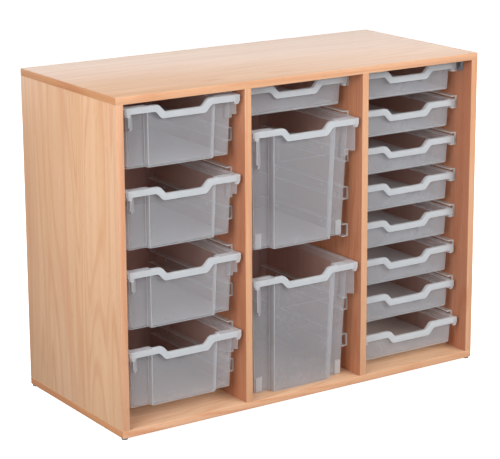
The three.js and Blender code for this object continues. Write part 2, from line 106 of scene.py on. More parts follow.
# Rails, ears, gussets and pads of a tray
RAIL_DEPTH = 22.5
RAIL_T = 3
RAIL_INSET = 3.5
RAIL_REAR_GAP = 8
RAIL_LEAD = 12
EAR_LENGTH = 8
EAR_WIDTH = 12.5
EAR_CHAMFER = 5
EAR_SET_IN = 1
GUSSET_T = 2
GUSSET_FRONT = 5
GUSSET_EAR_GAP = 9
PAD_WIDTH = 19
PAD_HEIGHT = 38
PAD_PROUD = 2.5
PAD_EMBED = 1.6
PAD_CORNER_GAP = 2
PAD_FLOOR_GAP = 3
PAD_ROUND = 1
DETAIL_ROUND = 0.6
EMBED = 1

# Label frame on the front of the jumbo trays
LABEL_WIDTH = 156
LABEL_HEIGHT = 58
LABEL_DROP = 27
LABEL_CORNER = 7
LABEL_LINE = 1.3
LABEL_PROUD = 0.5

# Kinds of tray: front set-back, corner and foot radius, and the gussets' two drops and outer length
SHALLOW = {"setback": 0, "corner": 10, "foot": 5, "gusset": None, "jumbo": False}
DEEP = {"setback": 13, "corner": 4, "foot": 2.5, "gusset": (56, 47, 11), "jumbo": False}
JUMBO = {"setback": 19, "corner": 4, "foot": 2.5, "gusset": (95, 82, 18), "jumbo": True}

# Least part of a normal along an axis for a face that is flat to it, turned to it, or slanted
FLAT = 0.9
FORWARD = 0.5
SLANTED = 0.3

# Places of the tray plastics and of the runner plastics among a mesh's materials; the rim place also
# carries painted highlights, and the runners' tip place is a painted highlight
WALL, RIM_AND_HIGHLIGHT, FRONT = 0, 1, 2
LENGTH, TIP_HIGHLIGHT = 0, 1

# Runners, by rack with their count of levels
RUNNER_T = 2
RUNNER_HEIGHT = 33
RUNNER_LIP_ROUND = 0.9
RUNNER_FILLET = 1.5
RUNNER_END = 5
RUNNER_SCREW_INSETS = (0.3, 0.85)
RACK_LEVELS = {
    "left_column_{}_runners": 8,
    "middle_column_{}_upper_runners": 5,
    "middle_column_{}_lower_runners": 2,
    "right_column_{}_runners": 8,
}

# Fittings
BRACKET_T = 2
BRACKET_BEND = 2.6
BRACKET_CORNER = 6
BRACKET_EDGE = 0.3
SCREW_D = 3.6
SCREW_LENGTH = 14
SCREW_POINT = 3
SCREW_HEAD_D = 8
SCREW_HEAD_H = 2.2
SCREW_HEAD_EDGE = 0.3
RECESS_LENGTH = 4.4
RECESS_WIDTH = 1.1
RECESS_DEPTH = 1.3
GLIDE_HEIGHT = 5
GLIDE_ROUND = 1.5
GLIDE_PIN_D = 5
ROUND_STEPS = 40

# Plastics: share of light that passes through, how haze grows at a slant, and refraction
GLOW_SHARE = 0.45
HAZE_POWER = 2.2
PLASTIC_IOR = 1.49

# Growth rings drawn over one swing of the wood's figure
RING_COUNT = 85.0

# Studio: the lights by name, with place, aim, size, power, and whether reflections show them
FLOOR_REACH = 30
FLOOR_GLOW = 0.8
WORLD_STRENGTH = 0.25
CLEAR_BOUNCES = 48
LIGHTS = (
    ("left_softbox", (-3.3, -1.2, 1.5), (0, 0, 0.45), (3.0, 2.4), 132, True),
    ("front_softbox", (1.4, -3.8, 2.3), (0, 0, 0.45), (3.6, 2.6), 225, False),
    ("top_softbox", (0.0, 0.6, 3.4), (0, 0, 0.6), (3.2, 2.4), 10, True),
    ("back_card", (0.85, 3.3, 1.6), (0, 0, 0.8), (5.7, 2.5), 77, True),
)

# Camera, fitted to the carcass corners in the photograph
CAMERA_PLACE = (-2.580, -3.858, 1.625)
CAMERA_AZIMUTH = -33.64
CAMERA_ELEVATION = 13.44
CAMERA_ROLL = -0.3
CAMERA_LENS = 134.7
SENSOR_WIDTH = 36
CAMERA_SHIFT = (0.0, -0.1)


# Shader nodes


def node(tree, kind, inputs=(), **settings):
    """A shader node with its settings, and with its inputs set or linked by name or number."""
    made = tree.nodes.new(kind)
    for name, value in settings.items():
        setattr(made, name, value)
    for name, value in dict(inputs).items():
        if isinstance(value, bpy.types.NodeSocket):
            tree.links.new(value, made.inputs[name])
        else:
            made.inputs[name].default_value = value
    return made


def stretched(tree, scale):
    """Object coordinates in metres, multiplied along each axis."""
    place = node(tree, "ShaderNodeTexCoord").outputs["Object"]
    return node(tree, "ShaderNodeMapping", {"Vector": place, "Scale": scale}).outputs[0]


def noise(tree, scale, detail=2.0, roughness=0.5, distortion=0.0):
    inputs = {
        "Vector": stretched(tree, scale),
        "Scale": 1.0,
        "Detail": detail,
        "Roughness": roughness,
        "Distortion": distortion,
    }
    return node(tree, "ShaderNodeTexNoise", inputs).outputs[0]


def ranged(tree, value, low, high, to_low, to_high):
    inputs = {"Value": value, 1: low, 2: high, 3: to_low, 4: to_high}
    return node(tree, "ShaderNodeMapRange", inputs).outputs[0]


def product(tree, first, second):
    return node(tree, "ShaderNodeMath", {0: first, 1: second}, operation="MULTIPLY").outputs[0]


def weighted(tree, parts):
    """The sum of (socket, weight) parts."""
    total = 0.0
    for socket, weight in parts:
        inputs = {0: socket, 1: weight, 2: total}
        total = node(tree, "ShaderNodeMath", inputs, operation="MULTIPLY_ADD").outputs[0]
    return total


def mixed(tree, factor, first, second):
    inputs = {0: factor, 6: first, 7: second}
    return node(tree, "ShaderNodeMix", inputs, data_type="RGBA").outputs[2]


def bumped(tree, shader, height, strength, distance):
    inputs = {"Height": height, "Strength": strength, "Distance": distance}
    tree.links.new(node(tree, "ShaderNodeBump", inputs).outputs[0], shader.inputs["Normal"])


def colour(red, green, blue):
    """A linear colour from 0 to 255 display values."""
    linear = [((c / 255 + 0.055) / 1.055) ** 2.4 for c in (red, green, blue)]
    return (*linear, 1.0)


def shaded(tint, red, green, blue):
    """A linear colour with each channel multiplied."""
    return (*[min(1.0, share * c) for share, c in zip((red, green, blue), tint)], 1.0)


def new_material(name):
    made = bpy.data.materials.new(name)
    made.use_nodes = True
    return made, made.node_tree, made.node_tree.nodes["Principled BSDF"]


# Materials


def along(axis, across, lengthwise):
    """Texture scale that is drawn out along the grain axis."""
    scale = [across] * 3
    scale[axis] = lengthwise
    return scale


def beech(name, axis, light, dark, rough=0.36):
    """Beech-print laminate with its grain along an axis: broad tone, streaks, rings, fibres and flecks."""
    made, tree, shader = new_material(name)
    broad = noise(tree, along(axis, 9, 0.5), 2)
    streak = noise(tree, along(axis, 60, 1.5), 4, 0.6, 0.5)
    fibre = noise(tree, along(axis, 430, 8), 3)
    fleck = noise(tree, along(axis, 330, 34), 1)
    growth = noise(tree, along(axis, 8, 0.6), 1.5, 0.45, 0.4)
    stave = noise(tree, along(axis, 6.5, 0.35), 1)
    ring = node(tree, "ShaderNodeMath", {0: product(tree, growth, RING_COUNT)}, operation="SINE").outputs[0]
    line = ranged(tree, ring, 0.2, 1.0, 0.0, 0.75)
    drawn = product(tree, line, ranged(tree, streak, 0.35, 0.65, 0.35, 1.0))
    tone = weighted(tree, [(broad, 0.5), (streak, 0.6), (fibre, 0.4)])
    share = ranged(tree, tone, 0.55, 0.95, 0.0, 1.0)
    rosy = mixed(tree, share, dark, light)
    sandy = mixed(tree, share, shaded(dark, 1.0, 0.98, 0.87), shaded(light, 1.0, 0.98, 0.89))
    body = mixed(tree, ranged(tree, stave, 0.42, 0.58, 0.0, 0.7), rosy, sandy)
    ringed = mixed(tree, drawn, body, shaded(dark, 0.97, 0.84, 0.76))
    speckled = mixed(tree, ranged(tree, fleck, 0.6, 0.74, 0.0, 0.35), ringed, shaded(dark, 0.82, 0.7, 0.62))
    tree.links.new(speckled, shader.inputs["Base Color"])
    tree.links.new(ranged(tree, fibre, 0.3, 0.7, rough + 0.05, rough - 0.04), shader.inputs["Roughness"])
    shader.inputs["Specular IOR Level"].default_value = 0.3
    bumped(tree, shader, weighted(tree, [(fibre, 0.7), (fleck, -0.3)]), 0.25, 0.00012)
    return made


def frosted(name, tint, facing, grazing, rough):
    """Translucent moulded plastic, denser where a wall is seen along its length and lit from both sides."""
    made, tree, shader = new_material(name)
    cloud = noise(tree, (14, 14, 14), 3)
    grit = noise(tree, (900, 900, 900), 2)
    flow = noise(tree, (22, 22, 6), 2, 0.5, 0.4)
    path = node(tree, "ShaderNodeLayerWeight", {"Blend": 0.5}).outputs["Facing"]
    shaped = node(tree, "ShaderNodeMath", {0: path, 1: HAZE_POWER}, operation="POWER").outputs[0]
    haze = ranged(tree, shaped, 0.0, 1.0, facing, grazing)
    uneven = ranged(tree, weighted(tree, [(cloud, 0.6), (grit, 0.4)]), 0.3, 0.7, 0.97, 1.03)
    milk = mixed(tree, cloud, tint, shaded(tint, 1.03, 1.03, 1.03))
    tree.links.new(milk, shader.inputs["Base Color"])
    tree.links.new(ranged(tree, grit, 0.3, 0.7, rough - 0.06, rough + 0.08), shader.inputs["Roughness"])
    shader.inputs["IOR"].default_value = PLASTIC_IOR
    bumped(tree, shader, weighted(tree, [(grit, 0.25), (flow, 0.75)]), 0.12, 0.0003)
    glow = node(tree, "ShaderNodeBsdfTranslucent", {"Color": milk}).outputs[0]
    dense = node(tree, "ShaderNodeMixShader", {0: GLOW_SHARE, 1: shader.outputs[0], 2: glow}).outputs[0]
    clear = node(tree, "ShaderNodeBsdfTransparent").outputs[0]
    cover = product(tree, haze, uneven)
    layer = node(tree, "ShaderNodeMixShader", {0: cover, 1: clear, 2: dense}).outputs[0]
    tree.links.new(layer, tree.nodes["Material Output"].inputs["Surface"])
    return made


def zinc(name):
    """Blue-passivated zinc plate with faint crystals and drawing marks."""
    made, tree, shader = new_material(name)
    cells = {"Vector": stretched(tree, (420, 420, 420)), "Scale": 1.0}
    crystal = node(tree, "ShaderNodeTexVoronoi", cells).outputs["Color"]
    drawn = noise(tree, (90, 900, 90), 3)
    bright = mixed(tree, drawn, colour(150, 166, 182), colour(196, 208, 218))
    tree.links.new(mixed(tree, 0.12, bright, crystal), shader.inputs["Base Color"])
    tree.links.new(ranged(tree, drawn, 0.3, 0.7, 0.24, 0.42), shader.inputs["Roughness"])
    shader.inputs["Metallic"].default_value = 1.0
    bumped(tree, shader, drawn, 0.2, 0.0001)
    return made


def grey_plastic(name):
    """Grey moulded plastic with a fine spark texture and floor scuffs."""
    made, tree, shader = new_material(name)
    spark = noise(tree, (1500, 1500, 1500), 2)
    scuff = noise(tree, (160, 40, 160), 3)
    worn = ranged(tree, scuff, 0.5, 0.75, 0.0, 0.5)
    grey = mixed(tree, worn, colour(112, 111, 114), colour(142, 140, 138))
    tree.links.new(grey, shader.inputs["Base Color"])
    tree.links.new(ranged(tree, spark, 0.3, 0.7, 0.48, 0.66), shader.inputs["Roughness"])
    bumped(tree, shader, spark, 0.4, 0.0001)
    return made


def floor_paint(name):
    """White studio floor that glows a little, so that it stays white into the distance."""
    made, tree, shader = new_material(name)
    cloud = noise(tree, (0.8, 0.8, 0.8), 3)
    pale = mixed(tree, cloud, colour(246, 246, 247), colour(250, 250, 250))
    tree.links.new(pale, shader.inputs["Base Color"])
    shader.inputs["Roughness"].default_value = 0.75
    shader.inputs["Specular IOR Level"].default_value = 0.2
    shader.inputs["Emission Color"].default_value = (1.0, 1.0, 1.0, 1.0)
    shader.inputs["Emission Strength"].default_value = FLOOR_GLOW
    return made


AXES = "XYZ"
FACE_LIGHT, FACE_DARK = colour(213, 175, 144), colour(199, 156, 124)
EDGE_LIGHT, EDGE_DARK = colour(209, 164, 132), colour(193, 144, 112)
END_LIGHT, END_DARK = colour(194, 142, 104), colour(178, 124, 88)
# Darker beech for the back panel's face inside the bays: painted shade
SHADED_BACK_LIGHT, SHADED_BACK_DARK = colour(188, 124, 96), colour(168, 104, 79)
# Darker, redder laminate for board faces inside the bays: painted shade, since the wood is the same as
# outside
SHADED_INNER_LIGHT, SHADED_INNER_DARK = colour(188, 130, 100), colour(169, 110, 82)
LAMINATE = [beech(f"beech_laminate_{a}", i, FACE_LIGHT, FACE_DARK) for i, a in enumerate(AXES)]
SHADED_INNER = [beech(f"beech_inner_painted_shade_{a}", i, SHADED_INNER_LIGHT, SHADED_INNER_DARK, 0.55) for i, a in enumerate(AXES)]
EDGE_BAND = [beech(f"beech_edge_{a}", i, EDGE_LIGHT, EDGE_DARK, 0.42) for i, a in enumerate(AXES)]
END_BAND = beech("beech_end", 1, END_LIGHT, END_DARK, 0.42)
SHADED_BACKING = beech("beech_backing_painted_shade", 2, SHADED_BACK_LIGHT, SHADED_BACK_DARK, 0.5)
DOWEL_WOOD = beech("dowel_beech", 2, colour(224, 196, 158), colour(196, 158, 116), 0.6)
FROSTED_WALL = frosted("frosted_wall", colour(224, 226, 230), 0.12, 0.7, 0.34)
FROSTED_FRONT = frosted("frosted_front", colour(200, 203, 208), 0.32, 0.82, 0.34)
# Denser rim plastic, also used as a painted highlight on a tray's foot and on a stepped front's fillets
FROSTED_RIM_AND_HIGHLIGHT = frosted("frosted_rim_and_highlight", colour(224, 228, 231), 0.58, 0.9, 0.38)
TRAY_PLASTICS = [FROSTED_WALL, FROSTED_RIM_AND_HIGHLIGHT, FROSTED_FRONT]
CLEAR = frosted("clear_runner", colour(232, 232, 230), 0.14, 0.7, 0.16)
# Brighter, denser clear plastic on the runners' ends and lip edges: a painted highlight
CLEAR_EDGE_HIGHLIGHT = frosted("clear_runner_edge_highlight", colour(244, 246, 246), 0.85, 0.95, 0.2)
ZINC = zinc("zinc_plate")
GLIDE_PLASTIC = grey_plastic("glide_plastic")


# Mesh helpers, in millimetres


def in_mm(node_name):
    """Lowest and highest corner of a solid, in millimetres."""
    low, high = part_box(node_name)
    return low / MM, high / MM


def in_order(items):
    """The items once each, in the order of their first place, so that every run builds the same mesh."""
    return list(dict.fromkeys(items))


def finish_shell(bm, verts, rounding, steps, paint):
    """Paints a new shell, rounds its edges and returns its faces."""
    faces = in_order(f for v in verts for f in v.link_faces)
    for face in faces:
        face.material_index = paint
    if rounding:
        bmesh.ops.recalc_face_normals(bm, faces=faces)
        edges = in_order(e for f in faces for e in f.edges)
        sharp = [e for e in edges if e.calc_face_angle(0) > math.radians(BEVEL_ANGLE)]
        made = bmesh.ops.bevel(
            bm, geom=sharp, offset=rounding, segments=steps, profile=0.5, affect="EDGES", clamp_overlap=True
        )
        kept = [f for f in faces if f.is_valid]
        faces = in_order(kept + [f for v in made["verts"] for f in v.link_faces])
    return faces


def box_into(bm, low, high, rounding, steps=2, paint=0):
    """Adds a box between two corners with rounded edges."""
    low, high = Vector(low), Vector(high)
    place = Matrix.Translation((low + high) / 2) @ Matrix.Diagonal((*(high - low), 1))
    made = bmesh.ops.create_cube(bm, size=1, matrix=place)
    return finish_shell(bm, made["verts"], rounding, steps, paint)


def prism_into(bm, outline, move, length, rounding=0.0, steps=2, paint=0):
    """Adds an outline in (u, v), placed by a matrix and run along its third axis."""
    near = [bm.verts.new(move @ Vector((u, v, 0))) for u, v in outline]
    far = [bm.verts.new(move @ Vector((u, v, length))) for u, v in outline]
    bm.faces.new(near)
    bm.faces.new(far[::-1])
    for i in range(len(outline)):
        j = (i + 1) % len(outline)
        bm.faces.new((near[j], near[i], far[i], far[j]))
    return finish_shell(bm, near + far, rounding, steps, paint)


def arc(centre, radius, start, end, steps):
    """Points on an arc, with angles in degrees."""
    angles = [math.radians(start + (end - start) * i / steps) for i in range(steps + 1)]
    return [(centre[0] + radius * math.cos(a), centre[1] + radius * math.sin(a)) for a in angles]


def rounded_outline(width, height, radius, steps=5):
    """A rectangle about the origin with round corners, counter-clockwise."""
    u, v = width / 2 - radius, height / 2 - radius
    corners = [((u, -v), -90), ((u, v), 0), ((-u, v), 90), ((-u, -v), 180)]
    return [p for centre, start in corners for p in arc(centre, radius, start, start + 90, steps)]


def eased(before, here, after, radius, steps):
    """A corner between two neighbours, cut back by a radius and drawn as a curve."""
    here = Vector(here)
    start = here + (Vector(before) - here).normalized() * radius
    end = here + (Vector(after) - here).normalized() * radius
    shares = [i / steps for i in range(steps + 1)]
    return [tuple((1 - t) ** 2 * start + 2 * t * (1 - t) * here + t * t * end) for t in shares]


def softened(corners, steps=3):
    """A closed outline of (u, v, radius) corners, each drawn as a curve."""
    points = []
    for i, (u, v, radius) in enumerate(corners):
        after = corners[(i + 1) % len(corners)]
        points += eased(corners[i - 1][:2], (u, v), after[:2], radius, steps)
    return points


def skin(bm, rings, paints):
    """Joins rings of equal counts into a shell, where a ring of one point closes an end."""
    grown = [[bm.verts.new(p) for p in ring] for ring in rings]
    for lower, upper, paint in zip(grown, grown[1:], paints):
        count = max(len(lower), len(upper))
        for i in range(count):
            j = (i + 1) % count
            below = [lower[i % len(lower)], lower[j % len(lower)]]
            above = [upper[j % len(upper)], upper[i % len(upper)]]
            bm.faces.new(in_order(below + above)).material_index = paint
    return grown


def turned_into(bm, profile, move):
    """Adds a round shell from (radius, height) points that start and end on the axis."""
    turns = [2 * math.pi * i / ROUND_STEPS for i in range(ROUND_STEPS)]
    rings = []
    for radius, height in profile:
        around = turns if radius else [0.0]
        rings.append([move @ Vector((radius * math.cos(a), radius * math.sin(a), height)) for a in around])
    skin(bm, rings, [0] * (len(rings) - 1))


def smooth(mesh):
    mesh.polygons.foreach_set("use_smooth", [True] * len(mesh.polygons))
    mesh.set_sharp_from_angle(angle=math.radians(CREASE_ANGLE))


def mesh_from(name, bm, materials):
    """A mesh in metres with smooth faces and sharp creases."""
    bmesh.ops.recalc_face_normals(bm, faces=bm.faces)
    bmesh.ops.scale(bm, vec=(MM, MM, MM), verts=bm.verts)
    mesh = bpy.data.meshes.new(name)
    bm.to_mesh(mesh)
    bm.free()
    for material in materials:
        mesh.materials.append(material)
    smooth(mesh)
    return mesh


def show(name, mesh, move=None):
    made = bpy.data.objects.new(name, mesh)
    made.matrix_world = move or Matrix.Identity(4)
    bpy.context.scene.collection.objects.link(made)
    return made


def dress(node_name, mesh, body="carcass", move=None):
    """Shows a mesh in the place of a solid and lets it move with the solid's body."""
    made = show(f"{node_name}_dressed", mesh, move)
    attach(made, body)
    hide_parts(node_name)
    return made


def combined(name, first, others, operation):
    """A closed mesh joined with, or cut by, other closed meshes in turn."""
    base = show(name, first)
    tools = [show(f"{name}_tool", mesh) for mesh in others]
    for tool in tools:
        step = base.modifiers.new("combine", "BOOLEAN")
        step.operation = operation
        step.solver = "MANIFOLD"
        step.object = tool
    bpy.context.view_layer.update()
    result = bpy.data.meshes.new_from_object(base.evaluated_get(bpy.context.evaluated_depsgraph_get()))
    result.name = name
    for used in (base, *tools):
        bpy.data.objects.remove(used)
    smooth(result)
    return result


# Boards


def board(node_name, thin_axis, grain_axis, banded, inner=(), inner_shade_material=None):
    """A laminated core with a band on each open edge, given as (axis, side) with side 0 or 1.

    The inner sides of its thin axis face the trays and carry a darker, redder laminate that is painted
    shade of the bays.
    """
    low, high = in_mm(node_name)
    core = [low.copy(), high.copy()]
    bm = bmesh.new()
    materials = [LAMINATE[grain_axis], inner_shade_material or SHADED_INNER[grain_axis]]
    for axis, side in banded:
        inward = 1 - 2 * side
        core[side][axis] += inward * (BAND_T + BAND_SEAM)
        strip = [low.copy(), high.copy()]
        strip[1 - side][axis] = strip[side][axis] + inward * BAND_T
        for other, other_side in banded:
            if other > axis:
                strip[other_side][other] += (1 - 2 * other_side) * (BAND_T + BAND_SEAM)
        materials.append(END_BAND if axis == 0 else EDGE_BAND[3 - thin_axis - axis])
        box_into(bm, strip[0], strip[1], BAND_ROUND, 3, len(materials) - 1)
    # Faces turned to the trays get the darker laminate as painted shade of the bays
    for made in box_into(bm, core[0], core[1], CORE_ROUND, 2, 0):
        made.normal_update()
        side = round(made.normal[thin_axis])
        if side and (side > 0) in inner:
            made.material_index = 1
    dress(node_name, mesh_from(f"{node_name}_mesh", bm, materials))


def boards():
    all_round = [(0, 0), (0, 1), (1, 0), (1, 1)]
    # The sides listed for each board face the trays and get the painted-shade laminate
    board("top_panel", 2, 0, all_round, [0])
    board("base_panel", 2, 0, all_round)
    board("left_side_panel", 0, 2, [(1, 0), (1, 1)], [1])
    board("right_side_panel", 0, 2, [(1, 0), (1, 1)], [0])
    for name in ("left_divider", "right_divider"):
        board(name, 0, 2, [(1, 0)], [0, 1])
    # The back panel's face towards the trays is darker as painted shade; its outer face is plain laminate
    board("back_panel", 1, 2, [], [0], SHADED_BACKING)
    for name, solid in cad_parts.items():
        if name.endswith("_dowel"):
            solid.material_slots[0].material = DOWEL_WOOD


# Fittings


def turn_to(axis):
    """Rotation that takes +Z to a direction."""
    return Vector((0, 0, 1)).rotation_difference(Vector(axis)).to_matrix().to_4x4()


def screw_into(bm, move):
    """Adds a pan-head screw whose head rests on the plane of Z 0 and whose point looks to +Z."""
    head = SCREW_HEAD_D / 2
    dome = [math.radians(a) for a in (18, 36, 54, 70, 82, 90)]
    profile = [(0, -SCREW_HEAD_H)]
    for angle in dome:
        rise = SCREW_HEAD_H * math.cos(angle) + SCREW_HEAD_EDGE * math.sin(angle)
        profile.append((head * math.sin(angle), -rise))
    profile += [(head - SCREW_HEAD_EDGE, 0), (SCREW_D / 2, 0)]
    profile += [(SCREW_D / 2, SCREW_LENGTH - SCREW_POINT), (0, SCREW_LENGTH)]
    turned_into(bm, profile, move)


def recess_slots():
    """The two crossing slots that are cut into a screw head."""
    slots = []
    for u, v in ((RECESS_LENGTH / 2, RECESS_WIDTH / 2), (RECESS_WIDTH / 2, RECESS_LENGTH / 2)):
        bm = bmesh.new()
        box_into(bm, (-u, -v, -SCREW_HEAD_H - EMBED), (u, v, RECESS_DEPTH - SCREW_HEAD_H), 0)
        slots.append(mesh_from("recess_slot", bm, [ZINC]))
    return slots


def screw_mesh():
    bm = bmesh.new()
    screw_into(bm, Matrix.Identity(4))
    return combined("pan_head_screw", mesh_from("screw_blank", bm, [ZINC]), recess_slots(), "DIFFERENCE")


def bracket_screws(mesh):
    """Puts a screw in each bracket leg, with its head where the solid's head is."""
    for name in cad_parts:
        if not name.endswith("_screw"):
            continue
        low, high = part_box(name)
        middle = (low + high) / 2
        if "_top_" in name:
            axis, seat = Vector((0, 0, 1)), Vector((middle.x, middle.y, low.z + SCREW_HEAD_H * MM))
        else:
            hand = 1 if middle.x > 0 else -1
            head_x = (low.x if hand > 0 else high.x) + hand * SCREW_HEAD_H * MM
            axis, seat = Vector((hand, 0, 0)), Vector((head_x, middle.y, middle.z))
        dress(name, mesh, move=Matrix.Translation(seat) @ turn_to(axis))


def at_strip_end(edge, low, high, hand):
    """True for the short edges across the strip's two free ends."""
    free_x = low.x if hand > 0 else high.x
    middle = (edge.verts[0].co + edge.verts[1].co) / 2
    return abs(edge.calc_length() - BRACKET_T) < SAME_PLACE and (
        abs(middle.z - low.z) < SAME_PLACE or abs(middle.x - free_x) < SAME_PLACE
    )


def bracket(node_name):
    """An angle bracket bent from strip, with round corners at its two ends."""
    low, high = in_mm(node_name)
    hand = 1 if low.x > 0 else -1
    drop, reach = high.z - low.z, high.x - low.x
    inner = BRACKET_BEND - BRACKET_T
    outline = [(0, -drop), *arc((BRACKET_BEND, -BRACKET_BEND), BRACKET_BEND, 180, 90, 5)]
    outline += [(reach, 0), (reach, -BRACKET_T)]
    outline += [*arc((BRACKET_BEND, -BRACKET_BEND), inner, 90, 180, 4), (BRACKET_T, -drop)]
    face_x = high.x if hand > 0 else low.x
    across = Matrix(((-hand, 0, 0, 0), (0, 0, 1, 0), (0, 1, 0, 0), (0, 0, 0, 1)))
    bm = bmesh.new()
    prism_into(bm, outline, Matrix.Translation((face_x, low.y, high.z)) @ across, high.y - low.y)
    ends = [e for e in bm.edges if at_strip_end(e, low, high, hand)]
    bmesh.ops.bevel(bm, geom=ends, offset=BRACKET_CORNER, segments=6, profile=0.5, affect="EDGES")
    finish_shell(bm, list(bm.verts), BRACKET_EDGE, 2, 0)
    dress(node_name, mesh_from(f"{node_name}_mesh", bm, [ZINC]))


def glide_mesh(width):
    """A round floor glide with its pin, standing on Z 0."""
    radius, pin = width / 2, GLIDE_PIN_D / 2
    profile = [(0, 0), *arc((radius - GLIDE_ROUND, GLIDE_ROUND), GLIDE_ROUND, -90, 0, 5)]
    profile += [(radius, GLIDE_HEIGHT), (pin, GLIDE_HEIGHT), (pin, 3 * GLIDE_HEIGHT), (0, 3 * GLIDE_HEIGHT)]
    bm = bmesh.new()
    turned_into(bm, profile, Matrix.Identity(4))
    return mesh_from("glide", bm, [GLIDE_PLASTIC])


def fittings():
    screw = screw_mesh()
    bracket_screws(screw)
    glide = None
    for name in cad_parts:
        if name.endswith("_bracket"):
            bracket(name)
        if name.endswith("_glide"):
            low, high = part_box(name)
            glide = glide or glide_mesh((high.x - low.x) / MM)
            foot = Vector(((low.x + high.x) / 2, (low.y + high.y) / 2, low.z))
            dress(name, glide, move=Matrix.Translation(foot))


# Runners


def rack(node_name, levels):
    """The clear runners on one face of a column, each open towards the trays, and their screws."""
    low, high = in_mm(node_name)
    width, length = high.x - low.x, high.y - low.y
    hand = 1 if "_right_" in node_name.split("column")[1] else -1
    face_x = high.x if hand > 0 else low.x
    pitch = (high.z - low.z - RUNNER_HEIGHT) / (levels - 1)
    tip, fillet = RUNNER_LIP_ROUND, RUNNER_FILLET
    outline = softened([
        (0, 0, tip),
        (width, 0, tip),
        (width, RUNNER_T, tip),
        (RUNNER_T, RUNNER_T, fillet),
        (RUNNER_T, RUNNER_HEIGHT - RUNNER_T, fillet),
        (width, RUNNER_HEIGHT - RUNNER_T, tip),
        (width, RUNNER_HEIGHT, tip),
        (0, RUNNER_HEIGHT, tip),
    ])
    clear, screws = bmesh.new(), bmesh.new()
    for level in range(levels):
        z = low.z + level * pitch
        rings = []
        for y in (low.y, low.y + RUNNER_END, high.y):
            rings.append([Vector((face_x - hand * u, y, z + v)) for u, v in outline])
        # The end cap and the first few millimetres get the brighter plastic as a painted highlight
        grown = skin(clear, rings, [TIP_HIGHLIGHT, LENGTH])
        clear.faces.new(grown[0]).material_index = TIP_HIGHLIGHT
        clear.faces.new(grown[-1])
        for share in RUNNER_SCREW_INSETS:
            seat = (face_x - hand * RUNNER_T, low.y + share * length, z + RUNNER_HEIGHT / 2)
            screw_into(screws, Matrix.Translation(seat) @ turn_to((hand, 0, 0)))
    # Faces along the lip edges get the brighter plastic as a painted highlight
    for face in clear.faces:
        if abs(face.calc_center_median().x - face_x) > width - RUNNER_LIP_ROUND:
            face.material_index = TIP_HIGHLIGHT
    dress(node_name, mesh_from(f"{node_name}_mesh", clear, [CLEAR, CLEAR_EDGE_HIGHLIGHT]))
    fastened = show(f"{node_name}_screws", mesh_from(f"{node_name}_screw_mesh", screws, [ZINC]))
    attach(fastened, "carcass")


def runners():
    for pattern, levels in RACK_LEVELS.items():
        for side in ("left", "right"):
            rack(pattern.format(side), levels)


# Trays


def soft_ramp(place, ease):
    """Rises straight from 0 to 1 as place does, with both corners rounded over ease."""
    def area(t):
        if t <= 0:
            return 0.0
        return t * t / 2 if t < 1 else t - 0.5
    return (area(place + ease) - area(place - ease)) / (2 * ease)


def dip(x, flare):
    """How far the front of the rim drops at x."""
    reach = DIP_FLOOR / 2 + flare + DIP_SLOPE - abs(x)
    return DIP_DEPTH * soft_ramp(reach / DIP_SLOPE, DIP_ROUND / DIP_SLOPE)


def spread(start, end, count):
    return [start + (end - start) * i / (count - 1) for i in range(count)]


def dip_stations():
    """Where the right half of the front is sampled, finely over the slope of the dip."""
    start = DIP_FLOOR / 2 - DIP_ROUND
    end = DIP_FLOOR / 2 + DIP_SLOPE + DIP_FLARE + DIP_ROUND
    return [start / 3, 2 * start / 3, *spread(start, end, 17)]


DIP_STATIONS = dip_stations()


